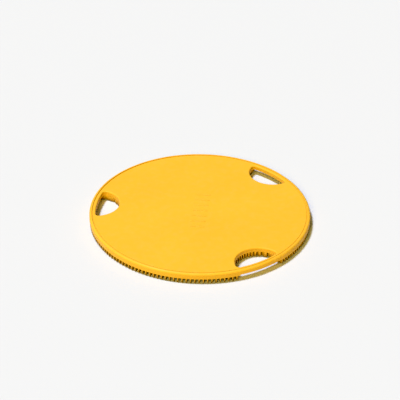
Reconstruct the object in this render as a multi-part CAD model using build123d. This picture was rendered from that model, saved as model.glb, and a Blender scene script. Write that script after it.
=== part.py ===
from build123d import *
import math
import os

# Merry-go-round spinner: a low round platter with three hand holes. It turns on a ball race above a
# small base that stands on rubber feet, and a shoulder bolt holds the two together.
# Millimetres, +Z up. The origin is on the floor, under the pivot, and one hand hole lies along -X.

# ---- Platter: plate, rim and skirt ------------------------------------------------------------
platter_diameter = 500.0
plate_thickness = 4.0
bead_rise = 1.0  # the rim's bead stands this far above the plate
bead_width = 6.0
bead_inner_radius = 0.8
groove_width = 2.5  # groove just inside the bead
groove_depth = 1.2
groove_radius = 0.4
rim_edge_radius = 4.5
skirt_height = 14.0  # from the bead's top down to the lip
skirt_thickness = 4.5
skirt_lip_radius = 1.2

# ---- Platter: radial ribs ---------------------------------------------------------------------
rib_count = 172
rib_thickness = 2.5
rib_floor_gap = 2.4  # ribs stop this far above the floor, and touch it only if the platter is tipped
rib_setback = 0.8  # rib ends stand back from the rim's outer face
ring_wall_thickness = 3.0  # the round wall that the ribs start from
ring_wall_gap = 7.0  # between that wall and the base

# ---- Platter: hand holes ----------------------------------------------------------------------
first_hole_angle = 180.0
side_hole_angle = 51.0  # the other two stand this far either side of +X
grip_width = 14.3  # bar between hole and rim
hole_depth = 50.5  # radial size of a hole
hole_arc_radius = 52.3  # its inner, round side
hole_corner_radius = 7.5
hole_edge_radius = 3.0  # rounding where the hand lies
grip_land = 1.0  # least flat between that rounding and the groove
collar_depth = 10.3  # wall round the hole, from the plate's top
collar_thickness = 3.0
collar_rib_setback = 0.5  # rib ends stand back from the hole under the collar

# ---- Platter: underside of the middle ---------------------------------------------------------
hub_boss_margin = 5.0  # the boss is this much wider than the thrust washer, all round
spoke_count = 16
spoke_thickness = 2.5
spoke_depth = 5.0
race_land_depth = 2.5
race_land_margin = 3.0  # the land is this much wider than the race, each side

# ---- Platter: plain raised bars at the middle of the top --------------------------------------
tread_bar_count = 7
tread_bar_length = 34.0
tread_bar_width = 6.0
tread_bar_pitch = 22.0
tread_bar_rise = 0.4

# ---- Base -------------------------------------------------------------------------------------
base_diameter = 330.0
base_web = 4.0
base_wall_thickness = 3.0
base_wall_rise = 4.5  # outer wall above the web
base_edge_radius = 1.5
base_spoke_rise = 4.0
base_hub_wall = 10.0
hub_recess_gap = 1.0  # between the bush's flange and the recess

# ---- Ball race --------------------------------------------------------------------------------
ball_count = 24
ball_diameter = 8.0
race_foot_gap = 10.0  # between the race's edge and the feet's barbs
ball_clearance = 0.2  # all round a ball, in grooves and cage
race_thickness = 3.0
race_groove_depth = 1.2
race_inner_margin = 7.0  # race's edges, measured from the ball circle
race_outer_margin = 15.0
cage_half_width = 6.5
cage_thickness = 3.0
locating_wall = 2.4
seat_clearance = 0.1

# ---- Race screws ------------------------------------------------------------------------------
race_screw_count = 8
race_screw_offset = 9.5  # outside the ball circle
screw_radius = 1.75
screw_head_radius = 3.4
screw_bite = 3.0  # length past the race, in the plastic
screw_clearance = 0.05
screw_socket_radius = 1.3
screw_socket_depth = 1.2

# ---- Pivot ------------------------------------------------------------------------------------
shoulder_radius = 6.0
running_clearance = 0.05
axial_gap = 0.1
thrust_washer_thickness = 1.0
thrust_washer_width = 7.0
bush_length = 5.0
bush_wall = 3.0
bush_flange_thickness = 1.0
bush_flange_width = 4.0  # past the bush's barrel
retainer_thickness = 1.0
retainer_width = 5.5
bolt_head_height = 3.2
bolt_head_width = 5.0  # past the shoulder
bolt_head_edge = 0.8
bolt_socket_radius = 4.6
bolt_socket_depth = 2.0
bolt_thread_step = 1.0  # the thread is this much smaller than the shoulder, in radius
bolt_thread_chamfer = 0.8
insert_wall = 2.2
insert_top_skin = 2.0  # plastic left between the insert and the platter's top
insert_bolt_gap = 0.6  # bolt's tip below the top of the insert
insert_flange_thickness = 1.0
insert_flange_width = 1.5
cap_thickness = 1.2
cap_rim_width = 2.0
cap_skirt_height = 2.8
cap_skirt_thickness = 1.3
cap_bolt_gap = 0.4  # between the cap and the bolt's head

# ---- Feet -------------------------------------------------------------------------------------
foot_count = 8
foot_proud = 2.5  # floor to the base's underside
foot_radius = 12.0
foot_edge_radius = 0.8
foot_rim_gap = 3.0  # foot's edge to the base's edge
foot_stem_radius = 4.0
foot_stem_clearance = 0.05
foot_barb_lip = 1.0  # barb past the stem
foot_barb_height = 2.0
foot_barb_taper = 1.8
foot_tread_radii = (4.75, 8.25)  # two round grooves under a foot
foot_tread_width = 1.5
foot_tread_depth = 0.6

# ---- Heights, built up from the floor ---------------------------------------------------------
base_bottom = foot_proud
base_top = base_bottom + base_web
lower_race_face = base_top + race_thickness
groove_radius_ball = ball_diameter / 2 + ball_clearance
ball_height = lower_race_face - race_groove_depth + groove_radius_ball
upper_race_face = ball_height + groove_radius_ball - race_groove_depth
race_land_bottom = upper_race_face + race_thickness
plate_bottom = race_land_bottom + race_land_depth
plate_top = plate_bottom + plate_thickness
bead_top = plate_top + bead_rise
skirt_bottom = bead_top - skirt_height
collar_bottom = plate_top - collar_depth
bolt_head_bottom = base_bottom + cap_thickness + cap_bolt_gap
bolt_head_top = bolt_head_bottom + bolt_head_height
bush_flange_bottom = bolt_head_top + retainer_thickness + axial_gap
hub_ceiling = bush_flange_bottom + bush_flange_thickness
base_hub_top = hub_ceiling + bush_length
hub_boss_bottom = base_hub_top + thrust_washer_thickness + axial_gap
insert_top = plate_top - insert_top_skin

# ---- Radii ------------------------------------------------------------------------------------
rim_radius = platter_diameter / 2
skirt_inner = rim_radius - skirt_thickness
hole_outer = rim_radius - grip_width
hole_centre = hole_outer - hole_depth + hole_arc_radius
base_radius = base_diameter / 2
ring_wall_inner = base_radius + ring_wall_gap
foot_circle = base_radius - foot_rim_gap - foot_radius
foot_barb_radius = foot_stem_radius + foot_barb_lip
race_outer = foot_circle - foot_barb_radius - race_foot_gap
ball_circle_radius = race_outer - race_outer_margin
race_inner = ball_circle_radius - race_inner_margin
race_screw_circle = ball_circle_radius + race_screw_offset
locating_outer = race_inner - seat_clearance
locating_inner = locating_outer - locating_wall
bolt_thread_radius = shoulder_radius - bolt_thread_step
bolt_head_radius = shoulder_radius + bolt_head_width
pivot_bore = shoulder_radius + running_clearance
bush_radius = pivot_bore + bush_wall
bush_flange_radius = bush_radius + bush_flange_width
hub_recess_radius = bush_flange_radius + hub_recess_gap
base_hub_radius = hub_recess_radius + base_hub_wall
thrust_washer_radius = pivot_bore + thrust_washer_width
hub_boss_radius = thrust_washer_radius + hub_boss_margin
insert_radius = bolt_thread_radius + insert_wall
screw_length = race_thickness + screw_bite

hole_angles = (first_hole_angle, side_hole_angle, -side_hole_angle)
half_screw_step = 180.0 / race_screw_count
half_spoke_step = 180.0 / spoke_count


def ring(outer, inner, low, high):
    """A round wall from low to high."""
    return Pos(0, 0, low) * extrude(Circle(outer) - Circle(inner), high - low)


def disc(radius, low, high):
    return Pos(0, 0, low) * extrude(Circle(radius), high - low)


def turned(corners, radii):
    """A solid of revolution from (radius, height) corners, each rounded by its own radius."""
    outline = FilletPolyline(*corners, radius=radii, close=True)
    return revolve(Plane.XZ * make_face(outline), Axis.Z)


def round_about(count, first=0.0):
    """Turns about the pivot, evenly spaced."""
    return [Rot(0, 0, first + 360.0 * i / count) for i in range(count)]


def radial_walls(count, first, inner, outer, thickness, low, high):
    """Straight radial walls between two radii."""
    wall = Pos((inner + outer) / 2, 0) * Rectangle(outer - inner, thickness)
    walls = Sketch() + [turn * wall for turn in round_about(count, first)]
    return Pos(0, 0, low) * extrude(walls, high - low)


def hand_hole_outline(grow=0.0):
    """D-shaped outline along +X: a round inner side and an outer side that follows the rim."""
    inner_side = Pos(hole_centre, 0) * Circle(hole_arc_radius + grow)
    outline = inner_side & Circle(hole_outer + grow)
    return fillet(outline.vertices(), hole_corner_radius + grow)


def upright(outline, low, high):
    return Pos(0, 0, low) * extrude(outline, high - low)


def screw_places(head_height, first):
    """Where the screws of one race stand, heads at head_height."""
    return [turn * Pos(race_screw_circle, 0, head_height) for turn in round_about(race_screw_count, first)]


def screw_envelope(clearance=0.0, length=screw_length):
    """Countersunk screw with its head's face at the origin, pointing down."""
    cone_height = screw_head_radius - screw_radius
    corners = [
        (0, 0),
        (screw_head_radius + clearance, 0),
        (screw_radius + clearance, -cone_height),
        (screw_radius + clearance, -length),
        (0, -length),
    ]
    return turned(corners, [0, 0, 0, 0, 0])


def race_screw():
    socket = extrude(RegularPolygon(screw_socket_radius, 6), -screw_socket_depth)
    return screw_envelope() - socket


def plate_and_skirt():
    groove_outer = rim_radius - bead_width
    groove_inner = groove_outer - groove_width
    groove_floor = plate_top - groove_depth
    corners = [
        (0, plate_top),
        (groove_inner, plate_top),
        (groove_inner, groove_floor),
        (groove_outer, groove_floor),
        (groove_outer, bead_top),
        (rim_radius, bead_top),
        (rim_radius, skirt_bottom),
        (skirt_inner, skirt_bottom),
        (skirt_inner, plate_bottom),
        (0, plate_bottom),
    ]
    edge = min(groove_radius, groove_depth / 2)
    lip = min(skirt_lip_radius, skirt_thickness / 2)
    rim_edge = min(rim_edge_radius, bead_width - bead_inner_radius)
    radii = [0, groove_depth - edge, edge, edge, bead_inner_radius, rim_edge, lip, lip, 0, 0]
    return turned(corners, radii)


def rib_ring():
    """The ring wall with every radial rib."""
    wall_middle = ring_wall_inner + ring_wall_thickness / 2
    rib_end = rim_radius - rib_setback
    rib = Pos((wall_middle + rib_end) / 2, 0) * Rectangle(rib_end - wall_middle, rib_thickness)
    wall = Circle(ring_wall_inner + ring_wall_thickness) - Circle(ring_wall_inner)
    comb = wall + [turn * rib for turn in round_about(rib_count)]
    return upright(comb, rib_floor_gap, plate_bottom)


def platter_middle():
    """Hub boss, race land, locating wall and spokes under the plate."""
    land_inner = locating_inner - race_land_margin
    land_outer = race_outer + race_land_margin
    spoke_bottom = plate_bottom - spoke_depth
    middle = disc(hub_boss_radius, hub_boss_bottom, plate_bottom)
    middle += ring(land_outer, land_inner, race_land_bottom, plate_bottom)
    middle += ring(locating_outer, locating_inner, spoke_bottom, plate_bottom)
    in_hub = hub_boss_radius - spoke_thickness
    in_locating = (locating_inner + locating_outer) / 2
    in_ring_wall = ring_wall_inner + ring_wall_thickness / 2
    middle += radial_walls(spoke_count, half_spoke_step, in_hub, in_locating, spoke_thickness,
                           spoke_bottom, plate_bottom)
    middle += radial_walls(spoke_count, half_spoke_step, land_outer - race_land_margin / 2, in_ring_wall,
                           spoke_thickness, spoke_bottom, plate_bottom)
    return middle


def hole_collar():
    """Wall round one hand hole."""
    return upright(hand_hole_outline(collar_thickness), collar_bottom, plate_bottom)


def under_hole():
    """Space for fingers below a collar and a grip bar, where ribs and lip are left out."""
    return upright(Pos(hole_centre, 0) * Circle(hole_arc_radius + collar_rib_setback), 0, collar_bottom)


def tread_bars():
    middle = (tread_bar_count - 1) / 2
    bar = SlotOverall(tread_bar_length, tread_bar_width)
    bars = Sketch() + [Pos(0, (i - middle) * tread_bar_pitch) * bar for i in range(tread_bar_count)]
    return upright(bars, plate_top, plate_top + tread_bar_rise)


def platter():
    body = plate_and_skirt() + rib_ring() + platter_middle()
    turns = [Rot(0, 0, angle) for angle in hole_angles]
    body += [turn * hole_collar() for turn in turns]
    body -= [turn * under_hole() for turn in turns]
    body -= [turn * upright(hand_hole_outline(), 0, bead_top) for turn in turns]
    body -= threaded_insert_envelope()
    pilot = Rot(180, 0, 0) * screw_envelope(screw_clearance)
    body -= [place * pilot for place in screw_places(upper_race_face, half_screw_step)]
    at_top = body.edges().filter_by_position(Axis.Z, plate_top, plate_top)
    hole_edges = [edge for edge in at_top if Vector(edge.center().X, edge.center().Y).length > ring_wall_inner]
    hole_edge = min(hole_edge_radius, grip_width - bead_width - groove_width - grip_land)
    body = fillet(hole_edges, hole_edge)
    return body + tread_bars()


def race(low, high, ball_side_up, first):
    body = ring(race_outer, race_inner, low, high)
    body -= Pos(0, 0, ball_height) * Torus(ball_circle_radius, groove_radius_ball)
    envelope = screw_envelope(screw_clearance)
    if ball_side_up:
        return body - [place * envelope for place in screw_places(high, first)]
    return body - [place * Rot(180, 0, 0) * envelope for place in screw_places(low, first)]


def lower_race():
    return race(base_top, lower_race_face, True, 0.0)


def upper_race():
    return race(upper_race_face, race_land_bottom, False, half_screw_step)


def lower_race_screws():
    return Part() + [place * race_screw() for place in screw_places(lower_race_face, 0.0)]


def upper_race_screws():
    screw = Rot(180, 0, 0) * race_screw()
    return Part() + [place * screw for place in screw_places(upper_race_face, half_screw_step)]


def ball_places():
    return [turn * Pos(ball_circle_radius, 0, ball_height) for turn in round_about(ball_count)]


def bearing_balls():
    return Part() + [place * Sphere(ball_diameter / 2) for place in ball_places()]


def ball_cage():
    low = ball_height - cage_thickness / 2
    outer = ball_circle_radius + cage_half_width
    inner = ball_circle_radius - cage_half_width
    pocket = Cylinder(groove_radius_ball, 2 * cage_thickness)
    return ring(outer, inner, low, low + cage_thickness) - [place * pocket for place in ball_places()]


def threaded_insert_envelope():
    flange_top = hub_boss_bottom + insert_flange_thickness
    flange = disc(insert_radius + insert_flange_width, hub_boss_bottom, flange_top)
    return flange + disc(insert_radius, hub_boss_bottom, insert_top)


def threaded_insert():
    thread = disc(bolt_thread_radius + running_clearance, hub_boss_bottom, insert_top)
    return threaded_insert_envelope() - thread


def pivot_bolt():
    tip = insert_top - insert_bolt_gap
    corners = [
        (0, bolt_head_bottom),
        (bolt_head_radius, bolt_head_bottom),
        (bolt_head_radius, bolt_head_top),
        (shoulder_radius, bolt_head_top),
        (shoulder_radius, hub_boss_bottom),
        (bolt_thread_radius, hub_boss_bottom),
        (bolt_thread_radius, tip - bolt_thread_chamfer),
        (bolt_thread_radius - bolt_thread_chamfer, tip),
        (0, tip),
    ]
    body = turned(corners, [0, bolt_head_edge, 0, 0, 0, 0, 0, 0, 0])
    socket = extrude(RegularPolygon(bolt_socket_radius, 6), bolt_socket_depth)
    return body - Pos(0, 0, bolt_head_bottom) * socket


def retaining_washer():
    return ring(pivot_bore + retainer_width, pivot_bore, bolt_head_top, bolt_head_top + retainer_thickness)


def thrust_washer():
    return ring(thrust_washer_radius, pivot_bore, base_hub_top, base_hub_top + thrust_washer_thickness)


def pivot_bush():
    flange = ring(bush_flange_radius, pivot_bore, bush_flange_bottom, hub_ceiling)
    return flange + ring(bush_radius, pivot_bore, hub_ceiling, base_hub_top)


def hub_cap():
    skirt_outer = hub_recess_radius - seat_clearance
    plate = disc(hub_recess_radius + cap_rim_width - seat_clearance, base_bottom, base_bottom + cap_thickness)
    skirt = ring(skirt_outer, skirt_outer - cap_skirt_thickness,
                 base_bottom + cap_thickness, base_bottom + cap_thickness + cap_skirt_height)
    return plate + skirt


def foot_places():
    return [turn * Pos(foot_circle, 0, 0) for turn in round_about(foot_count)]


def foot():
    barb_bottom = base_top
    barb_top = barb_bottom + foot_barb_height
    corners = [
        (0, 0),
        (foot_radius, 0),
        (foot_radius, foot_proud),
        (foot_stem_radius, foot_proud),
        (foot_stem_radius, barb_bottom),
        (foot_barb_radius, barb_bottom),
        (foot_barb_radius - foot_barb_taper, barb_top),
        (0, barb_top),
    ]
    body = turned(corners, [0, foot_edge_radius, 0, 0, 0, 0, 0, 0])
    half = foot_tread_width / 2
    return body - [ring(radius + half, radius - half, 0, foot_tread_depth) for radius in foot_tread_radii]


def base_shell():
    """Web and outer wall in one profile."""
    wall_top = base_top + base_wall_rise
    wall_inner = base_radius - base_wall_thickness
    edge = base_edge_radius
    corners = [
        (0, base_bottom),
        (base_radius, base_bottom),
        (base_radius, wall_top),
        (wall_inner, wall_top),
        (wall_inner, base_top),
        (0, base_top),
    ]
    return turned(corners, [0, edge, edge / 2, edge / 2, 0, 0])


def base_plate():
    spoke_top = base_top + base_spoke_rise
    in_wall = base_radius - base_wall_thickness / 2
    in_locating = (locating_inner + locating_outer) / 2
    in_hub = base_hub_radius - spoke_thickness
    past_race = race_outer + seat_clearance
    body = base_shell() + disc(base_hub_radius, base_bottom, base_hub_top)
    body += ring(locating_outer, locating_inner, base_top, spoke_top)
    body += radial_walls(spoke_count, half_spoke_step, in_hub, in_locating, spoke_thickness,
                         base_top, spoke_top)
    body += radial_walls(spoke_count, half_spoke_step, past_race, in_wall, spoke_thickness,
                         base_top, spoke_top)
    body -= disc(hub_recess_radius, base_bottom, hub_ceiling)
    body -= disc(hub_recess_radius + cap_rim_width, base_bottom, base_bottom + cap_thickness)
    body -= disc(bush_radius + seat_clearance / 2, base_bottom, base_hub_top)
    stem_hole = disc(foot_stem_radius + foot_stem_clearance, 0, base_top)
    body -= [place * stem_hole for place in foot_places()]
    pilot = screw_envelope(screw_clearance)
    return body - [place * pilot for place in screw_places(lower_race_face, 0.0)]


def pieces():
    """Every node by name."""
    made = {
        "platter": platter(),
        "upper_race": upper_race(),
        "upper_race_screws": upper_race_screws(),
        "threaded_insert": threaded_insert(),
        "pivot_bolt": pivot_bolt(),
        "retaining_washer": retaining_washer(),
        "ball_cage": ball_cage(),
        "bearing_balls": bearing_balls(),
        "lower_race": lower_race(),
        "lower_race_screws": lower_race_screws(),
        "pivot_bush": pivot_bush(),
        "thrust_washer": thrust_washer(),
        "hub_cap": hub_cap(),
        "base_plate": base_plate(),
    }
    for number, place in enumerate(foot_places(), start=1):
        made[f"foot_{number}"] = place * foot()
    return made


os.makedirs("parts", exist_ok=True)
for name, piece in pieces().items():
    export_step(piece, f"parts/{name}.step")
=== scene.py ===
import math

import bpy
from bpy.props import FloatProperty, FloatVectorProperty, PointerProperty
from mathutils import Matrix, Vector


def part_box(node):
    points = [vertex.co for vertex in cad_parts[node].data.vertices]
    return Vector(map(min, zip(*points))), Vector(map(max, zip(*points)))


bl_info = {
    "name": "Spinner platter",
    "version": (1, 0, 0),
    "blender": (4, 5, 0),
    "location": "View3D > Sidebar > Spinner",
    "description": "Finishes a low round merry-go-round platter, its ball race and its base, "
                   "and sets its stage",
    "category": "Object",
}

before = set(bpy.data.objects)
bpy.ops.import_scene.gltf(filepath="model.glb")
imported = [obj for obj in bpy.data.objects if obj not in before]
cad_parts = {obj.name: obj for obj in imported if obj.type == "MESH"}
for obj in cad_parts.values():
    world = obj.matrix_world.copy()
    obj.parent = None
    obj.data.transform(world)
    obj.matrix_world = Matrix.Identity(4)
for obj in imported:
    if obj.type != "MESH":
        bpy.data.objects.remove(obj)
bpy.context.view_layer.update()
PLATTER_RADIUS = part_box("platter")[1].x
FEET = [name for name in sorted(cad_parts) if name.startswith("foot_")]

# Each lamp: the direction towards it, how wide it looks from the object in degrees, and its colour.
# Where both reach the floor, their colours add up to nearly white.
KEY_LAMP = ((-0.318, -0.073, 1.0), 11.0, (0.71, 0.785, 1.0))
FRONT_LAMP = ((-0.15, -1.0, 0.75), 30.0, (1.0, 0.80, 0.22))
ROOM_TINT = (1.0, 0.85, 0.4)
BLACK_LEVEL = 0.012  # taken off every colour, so that shadows are deeper than the light makes them

FLOOR_SIZE = 60  # the floor's radius in platter radii
CAMERA_TILT = math.radians(0.836)
CAMERA_ROLL = math.radians(0.59)
SENSOR_WIDTH = 36.0  # millimetres
VIEW_LIMIT = 200.0  # metres

PAINTED_SHADE_HEIGHT = 0.0125  # painted shade reaches this far up the platter's ribs, in metres
PAINTED_SHADE_FULL = 0.003  # and is darkest below this
DUST_TINT = (0.80, 0.76, 0.66, 1.0)


# ---- Settings a user would change --------------------------------------------------------------

def colour(name, description, value):
    return FloatVectorProperty(name=name, description=description, default=value, size=3,
                               subtype="COLOR", min=0.0, max=1.0)


class SPINNER_PG_platter(bpy.types.PropertyGroup):
    """The yellow moulding"""
    tint: colour("Plastic", "Colour of the moulded plastic", (0.90, 0.485, 0.040))
    deep_tint: colour("Deep plastic", "Colour where the moulding is thick", (0.87, 0.445, 0.033))
    # Painted shade: a dark brown put into the plastic's colour in narrow gaps and low on the ribs, where
    # shade falls
    painted_shade_tint: colour("Painted shade", "Colour of painted shade between the ribs", (0.10, 0.042, 0.003))
    worn_tint: colour("Rubbed plastic", "Colour of rubbed edges", (0.95, 0.58, 0.07))
    grain_size: FloatProperty(name="Grain size", description="Size of the moulded skin texture",
                              default=0.0007, min=0.0001, unit="LENGTH")
    roughness: FloatProperty(name="Roughness", description="How matt the skin is",
                             default=0.42, min=0.0, max=1.0, subtype="FACTOR")


class SPINNER_PG_base(bpy.types.PropertyGroup):
    """The base and its feet"""
    tint: colour("Base plastic", "Colour of the moulded base", (0.045, 0.048, 0.052))
    rubber: colour("Rubber", "Colour of the feet", (0.022, 0.022, 0.023))
    acetal: colour("Acetal", "Colour of bush, washer and cage", (0.80, 0.79, 0.74))


class SPINNER_PG_metal(bpy.types.PropertyGroup):
    """Races, balls, screws, bolt and insert"""
    steel: colour("Steel", "Colour of bare steel", (0.56, 0.56, 0.57))
    zinc: colour("Zinc plate", "Colour of plated steel", (0.60, 0.58, 0.52))
    brass: colour("Brass", "Colour of the threaded insert", (0.78, 0.57, 0.26))


class SPINNER_PG_stage(bpy.types.PropertyGroup):
    """Floor, light and camera"""
    floor_tint: colour("Floor", "Colour of the floor", (0.74, 0.74, 0.74))
    azimuth: FloatProperty(name="Azimuth", description="Camera's angle round the object",
                           default=math.radians(6.35), subtype="ANGLE")
    elevation: FloatProperty(name="Elevation", description="Camera's angle above the floor",
                             default=math.radians(33.45), subtype="ANGLE")
    distance: FloatProperty(name="Distance", description="Camera to the middle of the footprint",
                            default=12.0 * PLATTER_RADIUS, min=0.1, unit="LENGTH")
    lens: FloatProperty(name="Lens", description="Focal length on a 36 mm sensor, in millimetres",
                        default=118.67, min=1.0)
    key_strength: FloatProperty(name="Key light", description="Strength of the lamp above, at the left",
                                default=3.8, min=0.0)
    fill_strength: FloatProperty(name="Front fill", description="Strength of the broad lamp in front",
                                 default=2.0, min=0.0)
    room_strength: FloatProperty(name="Room light", description="Strength of the surrounding light",
                                 default=0.07, min=0.0)


# ---- Node helpers ------------------------------------------------------------------------------

class Nodes:
    """Short calls for building one node tree."""

    def __init__(self, tree):
        self.tree = tree
        tree.nodes.clear()

    def add(self, kind, settings=None, **inputs):
        """A node with its settings, then its inputs; an input is a value or another node's output."""
        node = self.tree.nodes.new(kind)
        for key, value in (settings or {}).items():
            setattr(node, key, value)
        for key, value in inputs.items():
            self.feed(node.inputs[key.replace("_", " ")], value)
        return node

    def feed(self, socket, value):
        if isinstance(value, bpy.types.NodeSocket):
            self.tree.links.new(value, socket)
        else:
            socket.default_value = value

    def math(self, operation, first, second=0.0, clamp=False):
        node = self.add("ShaderNodeMath", {"operation": operation, "use_clamp": clamp})
        for socket, value in zip(node.inputs, (first, second)):
            self.feed(socket, value)
        return node.outputs[0]

    def mix(self, factor, first, second):
        """Mix of two colours."""
        node = self.add("ShaderNodeMix", {"data_type": "RGBA"})
        self.feed(node.inputs[0], factor)
        self.feed(node.inputs[6], first)
        self.feed(node.inputs[7], second)
        return node.outputs[2]

    def remap(self, value, low, high, to_low, to_high):
        node = self.add("ShaderNodeMapRange", {"clamp": True}, From_Min=low, From_Max=high,
                        To_Min=to_low, To_Max=to_high)
        self.feed(node.inputs["Value"], value)
        return node.outputs["Result"]

    def noise(self, vector, scale, detail=2.0, roughness=0.5):
        node = self.add("ShaderNodeTexNoise", None, Scale=scale, Detail=detail, Roughness=roughness)
        self.feed(node.inputs["Vector"], vector)
        return node.outputs["Fac"]

    def place(self):
        """A point's place on the object, in metres."""
        return self.add("ShaderNodeTexCoord").outputs["Object"]


def group(name, inputs, outputs, build):
    """A shader node group, made once. build gets its nodes, its input sockets and its output sockets."""
    if name in bpy.data.node_groups:
        return bpy.data.node_groups[name]
    tree = bpy.data.node_groups.new(name, "ShaderNodeTree")
    for label, kind, value in inputs:
        socket = tree.interface.new_socket(label, in_out="INPUT", socket_type=kind)
        socket.default_value = value
    for label, kind in outputs:
        tree.interface.new_socket(label, in_out="OUTPUT", socket_type=kind)
    nodes = Nodes(tree)
    build(nodes, nodes.add("NodeGroupInput").outputs, nodes.add("NodeGroupOutput").inputs)
    return tree


def use(nodes, tree, **inputs):
    """Places a group in a material with its own values."""
    node = nodes.add("ShaderNodeGroup", {"node_tree": tree})
    for key, value in inputs.items():
        nodes.feed(node.inputs[key.replace("_", " ")], value)
    return node.outputs


def rgba(tint):
    return (*tint, 1.0)


# ---- Effects shared by several materials -------------------------------------------------------

def edge_wear():
    """Mask of corners and edges, rubbed unevenly."""
    def build(nodes, given, out):
        rounded = nodes.add("ShaderNodeBevel", {"samples": 4}, Radius=given["Width"])
        plain = nodes.add("ShaderNodeNewGeometry")
        turn = nodes.add("ShaderNodeVectorMath", {"operation": "DOT_PRODUCT"})
        nodes.feed(turn.inputs[0], rounded.outputs["Normal"])
        nodes.feed(turn.inputs[1], plain.outputs["Normal"])
        edge = nodes.remap(turn.outputs["Value"], 0.98, 0.86, 0.0, 1.0)
        patches = nodes.noise(nodes.place(), given["Patch Scale"], 3.0, 0.6)
        kept = nodes.remap(patches, 0.35, 0.62, 0.25, 1.0)
        nodes.feed(out["Mask"], nodes.math("MULTIPLY", edge, kept))
        nodes.feed(out["Normal"], rounded.outputs["Normal"])

    return group("Edge wear",
                 [("Width", "NodeSocketFloat", 0.0005), ("Patch Scale", "NodeSocketFloat", 60.0)],
                 [("Mask", "NodeSocketFloat"), ("Normal", "NodeSocketVector")], build)


def moulded_skin():
    """The fine leather-like grain of a textured mould, with slow thick and thin places."""
    def build(nodes, given, out):
        place = nodes.place()
        scale = nodes.math("DIVIDE", 1.0, given["Grain Size"])
        cells = nodes.add("ShaderNodeTexVoronoi", {"feature": "SMOOTH_F1"}, Smoothness=0.6)
        nodes.feed(cells.inputs["Vector"], place)
        nodes.feed(cells.inputs["Scale"], scale)
        fine = nodes.noise(place, nodes.math("MULTIPLY", scale, 2.3), 2.0, 0.6)
        grain = nodes.math("ADD", cells.outputs["Distance"], nodes.math("MULTIPLY", fine, 0.35))
        slow = nodes.noise(place, 7.0, 3.0, 0.5)
        nodes.feed(out["Height"], grain)
        nodes.feed(out["Slow"], slow)

    return group("Moulded skin", [("Grain Size", "NodeSocketFloat", 0.0008)],
                 [("Height", "NodeSocketFloat"), ("Slow", "NodeSocketFloat")], build)


def scuffs():
    """Thin crossing scratches, as shoes and floors leave them."""
    def build(nodes, given, out):
        place = nodes.place()
        strength = None
        for angle, stretch in ((0.35, 60.0), (1.25, 45.0), (2.4, 75.0)):
            turned = nodes.add("ShaderNodeMapping", None, Rotation=(0.0, 0.0, angle))
            nodes.feed(turned.inputs["Vector"], place)
            turned.inputs["Scale"].default_value = (6.0, 6.0 * stretch, 6.0)
            lines = nodes.noise(turned.outputs["Vector"], 1.6, 2.0, 0.5)
            thin = nodes.remap(lines, 0.685, 0.74, 0.0, 1.0)
            strength = thin if strength is None else nodes.math("MAXIMUM", strength, thin)
        here = nodes.remap(nodes.noise(place, given["Patch Scale"], 2.0, 0.5), 0.42, 0.62, 0.0, 1.0)
        nodes.feed(out["Mask"], nodes.math("MULTIPLY", strength, here))

    return group("Scuffs", [("Patch Scale", "NodeSocketFloat", 9.0)], [("Mask", "NodeSocketFloat")], build)


def settled_dust():
    """Mask of faces that look up, broken by noise."""
    def build(nodes, given, out):
        facing = nodes.add("ShaderNodeSeparateXYZ")
        nodes.feed(facing.inputs[0], nodes.add("ShaderNodeNewGeometry").outputs["Normal"])
        up = nodes.remap(facing.outputs["Z"], 0.2, 0.9, 0.0, 1.0)
        specks = nodes.remap(nodes.noise(nodes.place(), given["Scale"], 5.0, 0.7), 0.45, 0.75, 0.0, 1.0)
        nodes.feed(out["Mask"], nodes.math("MULTIPLY", up, specks))

    return group("Settled dust", [("Scale", "NodeSocketFloat", 90.0)], [("Mask", "NodeSocketFloat")], build)


def gap_painted_shade():
    """Mask of painted shade: narrow gaps, where shade falls, and the lowest few millimetres, darker towards
    the floor.
    """
    def build(nodes, given, out):
        # painted shade: closed-in places, read from ambient occlusion, turn dark
        open_sky = nodes.add("ShaderNodeAmbientOcclusion", {"samples": 6})
        nodes.feed(open_sky.inputs["Distance"], given["Reach"])
        closed_in = nodes.remap(open_sky.outputs["AO"], 0.55, 0.2, 0.0, 1.0)
        place = nodes.place()
        patches = nodes.remap(nodes.noise(place, 55.0, 3.0, 0.6), 0.3, 0.6, 0.85, 1.0)
        height = nodes.add("ShaderNodeSeparateXYZ")
        nodes.feed(height.inputs[0], place)
        low = nodes.remap(height.outputs["Z"], given["Splash Height"], PAINTED_SHADE_FULL, 0.0, 0.9)
        in_shade = nodes.math("MAXIMUM", closed_in, low)
        nodes.feed(out["Mask"], nodes.math("MULTIPLY", in_shade, patches))

    return group("Painted gap shade",
                 [("Reach", "NodeSocketFloat", 0.012), ("Splash Height", "NodeSocketFloat", PAINTED_SHADE_HEIGHT)],
                 [("Mask", "NodeSocketFloat")], build)


def turned_rings():
    """Concentric tool marks about the pivot."""
    def build(nodes, given, out):
        parts = nodes.add("ShaderNodeSeparateXYZ")
        nodes.feed(parts.inputs[0], nodes.place())
        x_squared = nodes.math("MULTIPLY", parts.outputs["X"], parts.outputs["X"])
        y_squared = nodes.math("MULTIPLY", parts.outputs["Y"], parts.outputs["Y"])
        radius = nodes.math("SQRT", nodes.math("ADD", x_squared, y_squared))
        along = nodes.add("ShaderNodeCombineXYZ")
        nodes.feed(along.inputs["X"], nodes.math("DIVIDE", radius, given["Pitch"]))
        nodes.feed(along.inputs["Z"], nodes.math("DIVIDE", parts.outputs["Z"], given["Pitch"]))
        nodes.feed(out["Height"], nodes.noise(along.outputs[0], 1.0, 3.0, 0.6))

    return group("Turned rings", [("Pitch", "NodeSocketFloat", 0.0003)],
                 [("Height", "NodeSocketFloat")], build)


# ---- Materials ---------------------------------------------------------------------------------

def material(name):
    """A new material, its nodes and its Principled shader."""
    made = bpy.data.materials.new(name)
    made.use_nodes = True
    nodes = Nodes(made.node_tree)
    shader = nodes.add("ShaderNodeBsdfPrincipled")
    nodes.add("ShaderNodeOutputMaterial", None, Surface=shader.outputs["BSDF"])
    return made, nodes, shader.inputs


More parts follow.
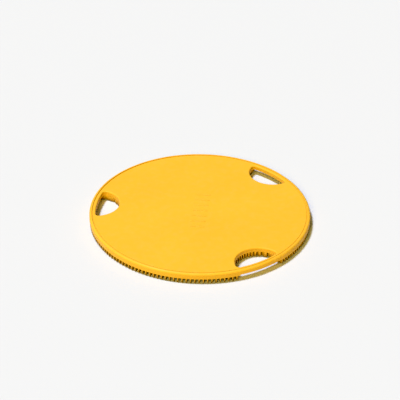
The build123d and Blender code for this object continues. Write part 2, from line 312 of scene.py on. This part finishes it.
def bump(nodes, shader, height, distance, strength, normal=None):
    node = nodes.add("ShaderNodeBump", None, Strength=strength, Distance=distance, Height=height)
    if normal is not None:
        nodes.feed(node.inputs["Normal"], normal)
    nodes.feed(shader["Normal"], node.outputs["Normal"])


def yellow_plastic(finish):
    made, nodes, shader = material("Yellow plastic")
    wear = use(nodes, edge_wear(), Width=0.0007, Patch_Scale=45.0)
    skin = use(nodes, moulded_skin(), Grain_Size=finish.grain_size)
    scratch = use(nodes, scuffs(), Patch_Scale=8.0)["Mask"]
    dust = use(nodes, settled_dust(), Scale=70.0)["Mask"]
    depth = nodes.remap(skin["Slow"], 0.35, 0.65, 0.0, 0.5)
    body = nodes.mix(depth, rgba(finish.tint), rgba(finish.deep_tint))
    rubbed = nodes.mix(nodes.math("MULTIPLY", wear["Mask"], 0.3), body, rgba(finish.worn_tint))
    scratched = nodes.mix(nodes.math("MULTIPLY", scratch, 0.16), rubbed, rgba(finish.worn_tint))
    dusty = nodes.mix(nodes.math("MULTIPLY", dust, 0.03), scratched, DUST_TINT)
    # Painted shade: the plastic turns dark brown in narrow gaps and low down on the ribs
    painted_shade = use(nodes, gap_painted_shade(), Reach=0.012, Splash_Height=PAINTED_SHADE_HEIGHT)["Mask"]
    with_painted_shade = nodes.mix(nodes.math("MULTIPLY", painted_shade, 0.92), dusty, rgba(finish.painted_shade_tint))
    nodes.feed(shader["Base Color"], with_painted_shade)
    rough = nodes.remap(skin["Slow"], 0.3, 0.7, finish.roughness - 0.04, finish.roughness + 0.05)
    rough = nodes.math("ADD", rough, nodes.math("MULTIPLY", scratch, 0.10))
    rough = nodes.math("SUBTRACT", rough, nodes.math("MULTIPLY", wear["Mask"], 0.08), clamp=True)
    nodes.feed(shader["Roughness"], rough)
    shader["Specular IOR Level"].default_value = 0.1
    height = nodes.math("SUBTRACT", skin["Height"], nodes.math("MULTIPLY", scratch, 0.5))
    bump(nodes, shader, height, 0.00006, 0.5, wear["Normal"])
    return made


def dark_plastic(settings):
    made, nodes, shader = material("Dark plastic")
    wear = use(nodes, edge_wear(), Width=0.0006, Patch_Scale=70.0)
    skin = use(nodes, moulded_skin(), Grain_Size=0.0009)
    scratch = use(nodes, scuffs(), Patch_Scale=12.0)["Mask"]
    dust = use(nodes, settled_dust(), Scale=120.0)["Mask"]
    body = nodes.mix(skin["Slow"], rgba(settings.tint), rgba([1.35 * c for c in settings.tint]))
    rubbed = nodes.mix(nodes.math("MULTIPLY", wear["Mask"], 0.5), body, (0.14, 0.14, 0.145, 1.0))
    scratched = nodes.mix(nodes.math("MULTIPLY", scratch, 0.5), rubbed, (0.20, 0.20, 0.20, 1.0))
    dusty = nodes.mix(nodes.math("MULTIPLY", dust, 0.25), scratched, (0.42, 0.39, 0.34, 1.0))
    nodes.feed(shader["Base Color"], dusty)
    nodes.feed(shader["Roughness"], nodes.remap(skin["Slow"], 0.3, 0.7, 0.46, 0.58))
    bump(nodes, shader, skin["Height"], 0.00008, 0.6, wear["Normal"])
    return made


def foot_rubber(settings):
    made, nodes, shader = material("Foot rubber")
    wear = use(nodes, edge_wear(), Width=0.0005, Patch_Scale=160.0)
    skin = use(nodes, moulded_skin(), Grain_Size=0.0004)
    dust = use(nodes, settled_dust(), Scale=200.0)["Mask"]
    body = nodes.mix(skin["Slow"], rgba(settings.rubber), rgba([1.8 * c for c in settings.rubber]))
    chalky = nodes.mix(nodes.math("MULTIPLY", wear["Mask"], 0.6), body, (0.10, 0.098, 0.095, 1.0))
    dusty = nodes.mix(nodes.math("MULTIPLY", dust, 0.3), chalky, (0.30, 0.28, 0.25, 1.0))
    nodes.feed(shader["Base Color"], dusty)
    nodes.feed(shader["Roughness"], nodes.remap(skin["Height"], 0.1, 0.9, 0.72, 0.9))
    bump(nodes, shader, skin["Height"], 0.00005, 0.7, wear["Normal"])
    return made


def acetal(name, tint):
    made, nodes, shader = material(name)
    wear = use(nodes, edge_wear(), Width=0.0003, Patch_Scale=150.0)
    rings = use(nodes, turned_rings(), Pitch=0.00035)["Height"]
    slow = nodes.noise(nodes.place(), 30.0, 3.0)
    body = nodes.mix(slow, rgba(tint), rgba([0.92 * c for c in tint]))
    greased = nodes.remap(nodes.noise(nodes.place(), 55.0, 4.0, 0.6), 0.50, 0.62, 0.0, 0.35)
    stained = nodes.mix(greased, body, (0.52, 0.45, 0.30, 1.0))
    polished = nodes.mix(nodes.math("MULTIPLY", wear["Mask"], 0.4), stained, (0.88, 0.87, 0.83, 1.0))
    nodes.feed(shader["Base Color"], polished)
    nodes.feed(shader["Roughness"], nodes.remap(greased, 0.0, 0.35, 0.40, 0.22))
    bump(nodes, shader, rings, 0.00002, 0.6, wear["Normal"])
    return made


def turned_metal(name, tint, stain, pitch, smooth, coarse):
    """Metal with concentric tool marks, stained where oil has dried."""
    made, nodes, shader = material(name)
    wear = use(nodes, edge_wear(), Width=0.0003, Patch_Scale=180.0)
    rings = use(nodes, turned_rings(), Pitch=pitch)["Height"]
    clouds = nodes.noise(nodes.place(), 40.0, 4.0, 0.6)
    body = nodes.mix(nodes.remap(clouds, 0.40, 0.66, 0.0, 0.7), rgba(tint), rgba(stain))
    bright = nodes.mix(nodes.math("MULTIPLY", wear["Mask"], 0.6), body, (0.74, 0.74, 0.74, 1.0))
    nodes.feed(shader["Base Color"], bright)
    shader["Metallic"].default_value = 1.0
    rough = nodes.math("ADD", nodes.remap(rings, 0.3, 0.7, smooth, coarse),
                       nodes.remap(clouds, 0.45, 0.7, 0.0, 0.12), clamp=True)
    nodes.feed(shader["Roughness"], rough)
    bump(nodes, shader, rings, 0.00002, 0.5, wear["Normal"])
    return made


def polished_steel(tint):
    made, nodes, shader = material("Polished steel")
    smears = nodes.noise(nodes.place(), 260.0, 4.0, 0.65)
    body = nodes.mix(nodes.remap(smears, 0.45, 0.7, 0.0, 0.5), rgba([1.2 * c for c in tint]), rgba(tint))
    nodes.feed(shader["Base Color"], body)
    shader["Metallic"].default_value = 1.0
    nodes.feed(shader["Roughness"], nodes.remap(smears, 0.4, 0.7, 0.06, 0.2))
    bump(nodes, shader, smears, 0.00001, 0.3)
    return made


def studio_floor(tint):
    made, nodes, shader = material("Studio floor")
    clouds = nodes.noise(nodes.place(), 1.3, 3.0)
    nodes.feed(shader["Base Color"], nodes.mix(clouds, rgba(tint), rgba([0.99 * c for c in tint])))
    nodes.feed(shader["Roughness"], nodes.remap(clouds, 0.3, 0.7, 0.86, 0.94))
    shader["Specular IOR Level"].default_value = 0.2
    return made


def finish_nodes(made, names):
    """Gives CAD nodes one material, in every slot they have."""
    for name in names:
        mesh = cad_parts[name].data
        mesh.materials.clear()
        mesh.materials.append(made)


# ---- Operators ---------------------------------------------------------------------------------

class SPINNER_OT_platter(bpy.types.Operator):
    """Finish the yellow platter"""
    bl_idname = "spinner.platter"
    bl_label = "Platter"

    def execute(self, context):
        finish_nodes(yellow_plastic(context.scene.spinner_platter), ["platter"])
        return {"FINISHED"}


class SPINNER_OT_base(bpy.types.Operator):
    """Finish the base moulding and its hub cap"""
    bl_idname = "spinner.base"
    bl_label = "Base"

    def execute(self, context):
        finish_nodes(dark_plastic(context.scene.spinner_base), ["base_plate", "hub_cap"])
        return {"FINISHED"}


class SPINNER_OT_feet(bpy.types.Operator):
    """Finish the rubber feet"""
    bl_idname = "spinner.feet"
    bl_label = "Feet"

    def execute(self, context):
        finish_nodes(foot_rubber(context.scene.spinner_base), FEET)
        return {"FINISHED"}


class SPINNER_OT_bearing(bpy.types.Operator):
    """Finish the races, their screws, the balls and the cage"""
    bl_idname = "spinner.bearing"
    bl_label = "Ball race"

    def execute(self, context):
        metal = context.scene.spinner_metal
        plastic = context.scene.spinner_base
        race = turned_metal("Race steel", metal.steel, (0.42, 0.40, 0.37), 0.0003, 0.20, 0.34)
        screw = turned_metal("Screw steel", metal.zinc, (0.50, 0.46, 0.33), 0.0005, 0.26, 0.38)
        finish_nodes(race, ["lower_race", "upper_race"])
        finish_nodes(screw, ["lower_race_screws", "upper_race_screws"])
        finish_nodes(polished_steel(metal.steel), ["bearing_balls"])
        finish_nodes(acetal("Cage acetal", plastic.acetal), ["ball_cage"])
        return {"FINISHED"}


class SPINNER_OT_pivot(bpy.types.Operator):
    """Finish the bolt, its washers, the bush and the threaded insert"""
    bl_idname = "spinner.pivot"
    bl_label = "Pivot"

    def execute(self, context):
        metal = context.scene.spinner_metal
        plastic = context.scene.spinner_base
        bolt = turned_metal("Bolt steel", metal.steel, (0.36, 0.35, 0.33), 0.00025, 0.22, 0.36)
        brass = turned_metal("Insert brass", metal.brass, (0.52, 0.36, 0.16), 0.0003, 0.24, 0.40)
        finish_nodes(bolt, ["pivot_bolt", "retaining_washer"])
        finish_nodes(brass, ["threaded_insert"])
        finish_nodes(acetal("Bush acetal", plastic.acetal), ["pivot_bush", "thrust_washer"])
        return {"FINISHED"}


class SPINNER_OT_stage(bpy.types.Operator):
    """Set the floor, the lights and the camera"""
    bl_idname = "spinner.stage"
    bl_label = "Stage"

    def execute(self, context):
        stage = context.scene.spinner_stage
        make_floor(stage)
        set_colour_management(context.scene)
        make_lights(context.scene, stage)
        make_camera(context.scene, stage)
        return {"FINISHED"}


def make_floor(stage):
    radius = FLOOR_SIZE * PLATTER_RADIUS
    bpy.ops.mesh.primitive_circle_add(vertices=96, radius=radius, fill_type="NGON", location=(0, 0, 0))
    floor = bpy.context.object
    floor.name = "studio_floor"
    floor.data.materials.append(studio_floor(stage.floor_tint))


def set_colour_management(scene):
    view = scene.view_settings
    view.view_transform = "Standard"
    view.use_curve_mapping = True
    view.curve_mapping.black_level = (BLACK_LEVEL, BLACK_LEVEL, BLACK_LEVEL)
    view.curve_mapping.update()


def make_lights(scene, stage):
    """A main lamp above at the left, a broad lamp in front and a weak surrounding light."""
    world = bpy.data.worlds.new("Studio light")
    world.use_nodes = True
    scene.world = world
    nodes = Nodes(world.node_tree)
    sky = nodes.add("ShaderNodeBackground", None, Color=rgba(ROOM_TINT), Strength=stage.room_strength)
    nodes.add("ShaderNodeOutputWorld", None, Surface=sky.outputs["Background"])
    add_sun(scene, "Key", stage.key_strength, *KEY_LAMP)
    add_sun(scene, "Front fill", stage.fill_strength, *FRONT_LAMP)


def add_sun(scene, name, strength, towards_light, width, tint):
    """A far lamp; width is how large it looks from the object, in degrees."""
    lamp = bpy.data.lights.new(name, "SUN")
    lamp.energy = strength
    lamp.angle = math.radians(width)
    lamp.color = tint
    light = bpy.data.objects.new(name, lamp)
    light.rotation_mode = "QUATERNION"
    light.rotation_quaternion = Vector(towards_light).to_track_quat("Z", "Y")
    scene.collection.objects.link(light)


def make_camera(scene, stage):
    """A long lens, tilted up a little from the middle of the footprint, with a slight roll."""
    azimuth, elevation = stage.azimuth, stage.elevation
    back = Vector((math.sin(azimuth) * math.cos(elevation),
                   -math.cos(azimuth) * math.cos(elevation), math.sin(elevation)))
    right = Vector((math.cos(azimuth), math.sin(azimuth), 0.0))
    aim = Matrix((right, back.cross(right), back)).transposed()
    turn = Matrix.Rotation(CAMERA_TILT, 3, "X") @ Matrix.Rotation(CAMERA_ROLL, 3, "Z")
    data = bpy.data.cameras.new("Camera")
    data.lens = stage.lens
    data.sensor_width = SENSOR_WIDTH
    data.clip_end = VIEW_LIMIT
    camera = bpy.data.objects.new("Camera", data)
    camera.matrix_world = Matrix.Translation(back * stage.distance) @ (aim @ turn).to_4x4()
    scene.collection.objects.link(camera)
    scene.camera = camera


# ---- Panel and registration --------------------------------------------------------------------

class SPINNER_PT_panel(bpy.types.Panel):
    """The spinner's steps, in order"""
    bl_label = "Spinner platter"
    bl_idname = "SPINNER_PT_panel"
    bl_space_type = "VIEW_3D"
    bl_region_type = "UI"
    bl_category = "Spinner"

    def draw(self, context):
        for step in STEPS:
            self.layout.operator(step.bl_idname)
        for attribute, kind in SETTINGS.items():
            box = self.layout.box()
            box.label(text=kind.__doc__)
            for key in kind.__annotations__:
                box.prop(getattr(context.scene, attribute), key)


SETTINGS = {
    "spinner_platter": SPINNER_PG_platter,
    "spinner_base": SPINNER_PG_base,
    "spinner_metal": SPINNER_PG_metal,
    "spinner_stage": SPINNER_PG_stage,
}
STEPS = (SPINNER_OT_platter, SPINNER_OT_base, SPINNER_OT_feet, SPINNER_OT_bearing, SPINNER_OT_pivot,
         SPINNER_OT_stage)
CLASSES = (*SETTINGS.values(), *STEPS, SPINNER_PT_panel)


def register():
    for made in CLASSES:
        bpy.utils.register_class(made)
    for attribute, kind in SETTINGS.items():
        setattr(bpy.types.Scene, attribute, PointerProperty(type=kind))


def unregister():
    for attribute in SETTINGS:
        delattr(bpy.types.Scene, attribute)
    for made in reversed(CLASSES):
        bpy.utils.unregister_class(made)


def main():
    register()
    for step in STEPS:
        section, name = step.bl_idname.split(".")
        getattr(getattr(bpy.ops, section), name)()


if __name__ == "__main__":
    main()
